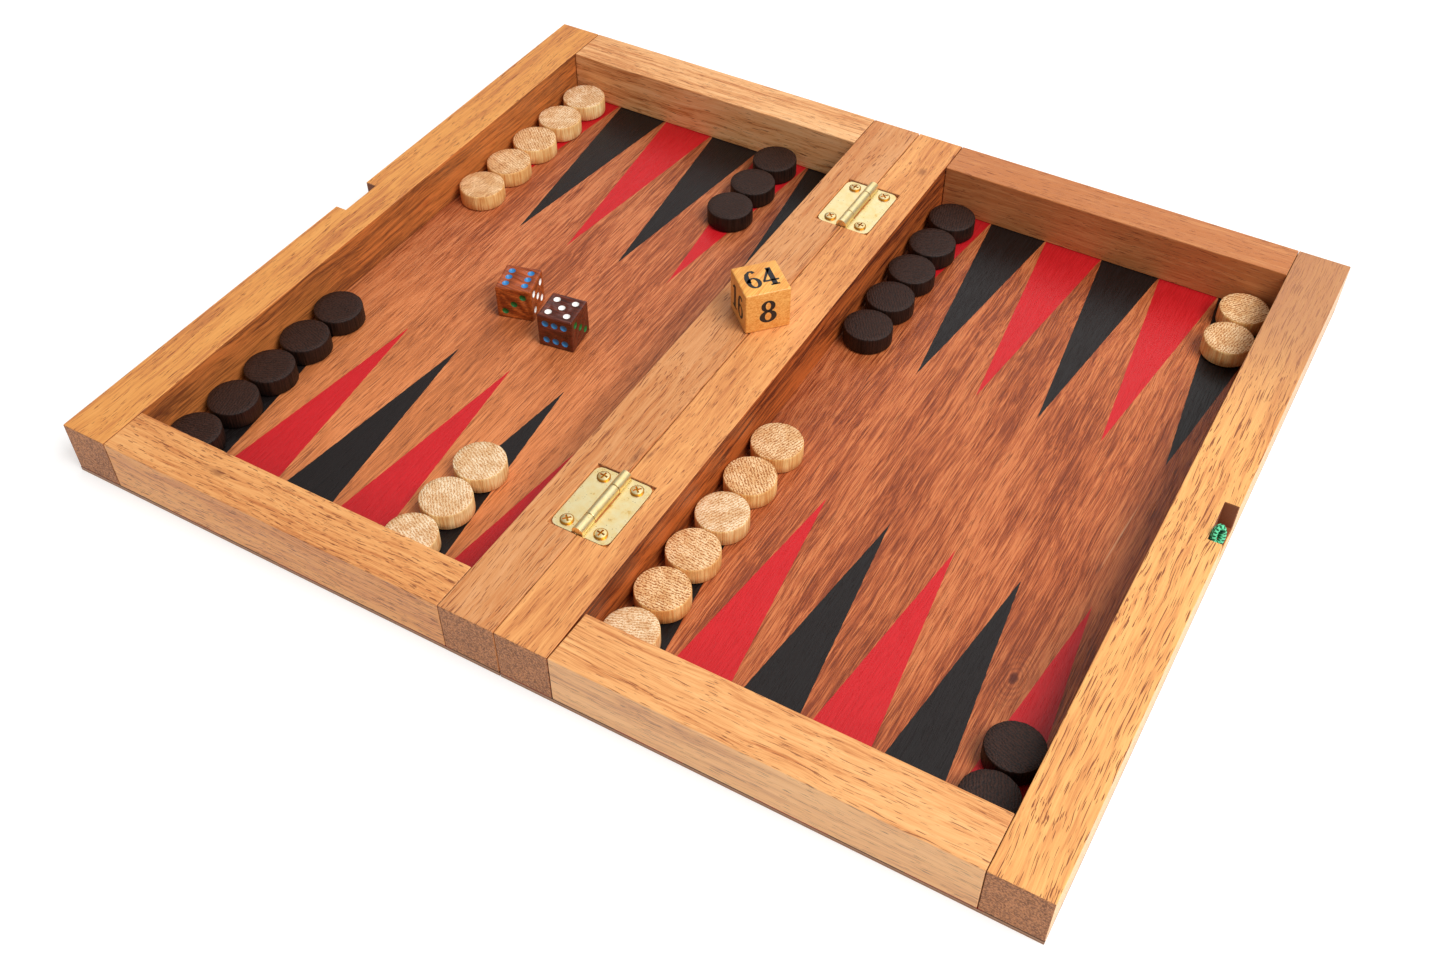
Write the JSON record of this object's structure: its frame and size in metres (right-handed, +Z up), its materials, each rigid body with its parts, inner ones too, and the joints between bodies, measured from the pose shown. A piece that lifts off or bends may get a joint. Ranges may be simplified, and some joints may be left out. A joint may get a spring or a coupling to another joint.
{
  "type": "folding backgammon case",
  "caption": "Hinged two-tray wooden backgammon case, open flat, with loose checkers, dice and a doubling cube laid out.",
  "frame": {"origin": "on the table under the fold seam, mid-way between the front and rear faces", "axes": "+Z up from the table, +X towards the fixed right tray across the seam, +Y from the front face to the rear face along the hinge line"},
  "size_m": [0.3, 0.255, 0.0329],
  "materials": {
    "rail_wood": "honey-gold open-pored wood, satin oil",
    "red_rail_wood": "redder rail wood, satin oil",
    "floor_wood": "reddish-brown veneer with painted red and black points, satin",
    "light_checker_wood": "pale sawn end grain, dry",
    "dark_checker_wood": "dark stained wood, satin",
    "orange_die_wood": "orange-brown wood with painted pips, satin",
    "brown_die_wood": "dark red-brown wood with painted pips, satin",
    "cube_wood": "pale yellow waxed wood with black numbers",
    "brass": "pale polished brass",
    "green_cord": "green braided cord"
  },
  "bodies": {
    "right_tray": {"right_rail_outer": "rail_wood", "right_rail_seam": "red_rail_wood", "right_rail_front": "rail_wood", "right_rail_rear": "rail_wood", "right_floor": "floor_wood", "hinge_front_leaf_right": "brass", "hinge_rear_leaf_right": "brass", "screw_front_right_near": "brass", "screw_front_right_far": "brass", "screw_rear_right_near": "brass", "screw_rear_right_far": "brass", "hinge_front_pin": "brass", "hinge_rear_pin": "brass", "closure_cord": "green_cord"},
    "left_tray": {"left_rail_outer": "rail_wood", "left_rail_seam": "rail_wood", "left_rail_front": "rail_wood", "left_rail_rear": "rail_wood", "left_floor": "floor_wood", "hinge_front_leaf_left": "brass", "hinge_rear_leaf_left": "brass", "screw_front_left_near": "brass", "screw_front_left_far": "brass", "screw_rear_left_near": "brass", "screw_rear_left_far": "brass"},
    "doubling_cube": {"doubling_cube": "cube_wood"},
    "die_left": {"die_left": "orange_die_wood"},
    "die_right": {"die_right": "brown_die_wood"},
    "light_checker_01": {"light_checker_01": "light_checker_wood"},
    "light_checker_02": {"light_checker_02": "light_checker_wood"},
    "light_checker_03": {"light_checker_03": "light_checker_wood"},
    "light_checker_04": {"light_checker_04": "light_checker_wood"},
    "light_checker_05": {"light_checker_05": "light_checker_wood"},
    "light_checker_06": {"light_checker_06": "light_checker_wood"},
    "light_checker_07": {"light_checker_07": "light_checker_wood"},
    "light_checker_08": {"light_checker_08": "light_checker_wood"},
    "light_checker_09": {"light_checker_09": "light_checker_wood"},
    "light_checker_10": {"light_checker_10": "light_checker_wood"},
    "light_checker_11": {"light_checker_11": "light_checker_wood"},
    "light_checker_12": {"light_checker_12": "light_checker_wood"},
    "light_checker_13": {"light_checker_13": "light_checker_wood"},
    "light_checker_14": {"light_checker_14": "light_checker_wood"},
    "light_checker_15": {"light_checker_15": "light_checker_wood"},
    "light_checker_16": {"light_checker_16": "light_checker_wood"},
    "dark_checker_01": {"dark_checker_01": "dark_checker_wood"},
    "dark_checker_02": {"dark_checker_02": "dark_checker_wood"},
    "dark_checker_03": {"dark_checker_03": "dark_checker_wood"},
    "dark_checker_04": {"dark_checker_04": "dark_checker_wood"},
    "dark_checker_05": {"dark_checker_05": "dark_checker_wood"},
    "dark_checker_06": {"dark_checker_06": "dark_checker_wood"},
    "dark_checker_07": {"dark_checker_07": "dark_checker_wood"},
    "dark_checker_08": {"dark_checker_08": "dark_checker_wood"},
    "dark_checker_09": {"dark_checker_09": "dark_checker_wood"},
    "dark_checker_10": {"dark_checker_10": "dark_checker_wood"},
    "dark_checker_11": {"dark_checker_11": "dark_checker_wood"},
    "dark_checker_12": {"dark_checker_12": "dark_checker_wood"},
    "dark_checker_13": {"dark_checker_13": "dark_checker_wood"},
    "dark_checker_14": {"dark_checker_14": "dark_checker_wood"},
    "dark_checker_15": {"dark_checker_15": "dark_checker_wood"}
  },
  "joints": [
    {"name": "board_fold", "type": "hinge", "parent": "right_tray", "child": "left_tray", "pos_m": [0, 0, 0.0188], "axis": [0, -1, 0], "range_deg": [-180, 0]},
    {"name": "cube_tip", "type": "hinge", "parent": "right_tray", "child": "doubling_cube", "pos_m": [0.016, 0.0133, 0.01725], "axis": [0, -1, 0], "range_deg": [-180, 0]},
    {"name": "die_left_lift", "type": "slide", "parent": "left_tray", "child": "die_left", "axis": [0, 0, 1], "range_m": [0, 0.03]},
    {"name": "die_right_lift", "type": "slide", "parent": "left_tray", "child": "die_right", "axis": [0, 0, 1], "range_m": [0, 0.03]},
    {"name": "lift_light_01", "type": "slide", "parent": "left_tray", "child": "light_checker_01", "axis": [0, 0, 1], "range_m": [0, 0.03]},
    {"name": "lift_light_02", "type": "slide", "parent": "left_tray", "child": "light_checker_02", "axis": [0, 0, 1], "range_m": [0, 0.03]},
    {"name": "lift_light_03", "type": "slide", "parent": "left_tray", "child": "light_checker_03", "axis": [0, 0, 1], "range_m": [0, 0.03]},
    {"name": "lift_light_04", "type": "slide", "parent": "left_tray", "child": "light_checker_04", "axis": [0, 0, 1], "range_m": [0, 0.03]},
    {"name": "lift_light_05", "type": "slide", "parent": "left_tray", "child": "light_checker_05", "axis": [0, 0, 1], "range_m": [0, 0.03]},
    {"name": "lift_light_06", "type": "slide", "parent": "left_tray", "child": "light_checker_06", "axis": [0, 0, 1], "range_m": [0, 0.03]},
    {"name": "lift_light_07", "type": "slide", "parent": "left_tray", "child": "light_checker_07", "axis": [0, 0, 1], "range_m": [0, 0.03]},
    {"name": "lift_light_08", "type": "slide", "parent": "left_tray", "child": "light_checker_08", "axis": [0, 0, 1], "range_m": [0, 0.03]},
    {"name": "lift_light_09", "type": "slide", "parent": "right_tray", "child": "light_checker_09", "axis": [0, 0, 1], "range_m": [0, 0.03]},
    {"name": "lift_light_10", "type": "slide", "parent": "right_tray", "child": "light_checker_10", "axis": [0, 0, 1], "range_m": [0, 0.03]},
    {"name": "lift_light_11", "type": "slide", "parent": "right_tray", "child": "light_checker_11", "axis": [0, 0, 1], "range_m": [0, 0.03]},
    {"name": "lift_light_12", "type": "slide", "parent": "right_tray", "child": "light_checker_12", "axis": [0, 0, 1], "range_m": [0, 0.03]},
    {"name": "lift_light_13", "type": "slide", "parent": "right_tray", "child": "light_checker_13", "axis": [0, 0, 1], "range_m": [0, 0.03]},
    {"name": "lift_light_14", "type": "slide", "parent": "right_tray", "child": "light_checker_14", "axis": [0, 0, 1], "range_m": [0, 0.03]},
    {"name": "lift_light_15", "type": "slide", "parent": "right_tray", "child": "light_checker_15", "axis": [0, 0, 1], "range_m": [0, 0.03]},
    {"name": "lift_light_16", "type": "slide", "parent": "right_tray", "child": "light_checker_16", "axis": [0, 0, 1], "range_m": [0, 0.03]},
    {"name": "lift_dark_01", "type": "slide", "parent": "left_tray", "child": "dark_checker_01", "axis": [0, 0, 1], "range_m": [0, 0.03]},
    {"name": "lift_dark_02", "type": "slide", "parent": "left_tray", "child": "dark_checker_02", "axis": [0, 0, 1], "range_m": [0, 0.03]},
    {"name": "lift_dark_03", "type": "slide", "parent": "left_tray", "child": "dark_checker_03", "axis": [0, 0, 1], "range_m": [0, 0.03]},
    {"name": "lift_dark_04", "type": "slide", "parent": "left_tray", "child": "dark_checker_04", "axis": [0, 0, 1], "range_m": [0, 0.03]},
    {"name": "lift_dark_05", "type": "slide", "parent": "left_tray", "child": "dark_checker_05", "axis": [0, 0, 1], "range_m": [0, 0.03]},
    {"name": "lift_dark_06", "type": "slide", "parent": "left_tray", "child": "dark_checker_06", "axis": [0, 0, 1], "range_m": [0, 0.03]},
    {"name": "lift_dark_07", "type": "slide", "parent": "left_tray", "child": "dark_checker_07", "axis": [0, 0, 1], "range_m": [0, 0.03]},
    {"name": "lift_dark_08", "type": "slide", "parent": "left_tray", "child": "dark_checker_08", "axis": [0, 0, 1], "range_m": [0, 0.03]},
    {"name": "lift_dark_09", "type": "slide", "parent": "right_tray", "child": "dark_checker_09", "axis": [0, 0, 1], "range_m": [0, 0.03]},
    {"name": "lift_dark_10", "type": "slide", "parent": "right_tray", "child": "dark_checker_10", "axis": [0, 0, 1], "range_m": [0, 0.03]},
    {"name": "lift_dark_11", "type": "slide", "parent": "right_tray", "child": "dark_checker_11", "axis": [0, 0, 1], "range_m": [0, 0.03]},
    {"name": "lift_dark_12", "type": "slide", "parent": "right_tray", "child": "dark_checker_12", "axis": [0, 0, 1], "range_m": [0, 0.03]},
    {"name": "lift_dark_13", "type": "slide", "parent": "right_tray", "child": "dark_checker_13", "axis": [0, 0, 1], "range_m": [0, 0.03]},
    {"name": "lift_dark_14", "type": "slide", "parent": "right_tray", "child": "dark_checker_14", "axis": [0, 0, 1], "range_m": [0, 0.03]},
    {"name": "lift_dark_15", "type": "slide", "parent": "right_tray", "child": "dark_checker_15", "axis": [0, 0, 1], "range_m": [0, 0.03]}
  ],
  "couplings": [
    {"joint": "cube_tip", "follows": "board_fold", "ratio": 1}
  ]
}
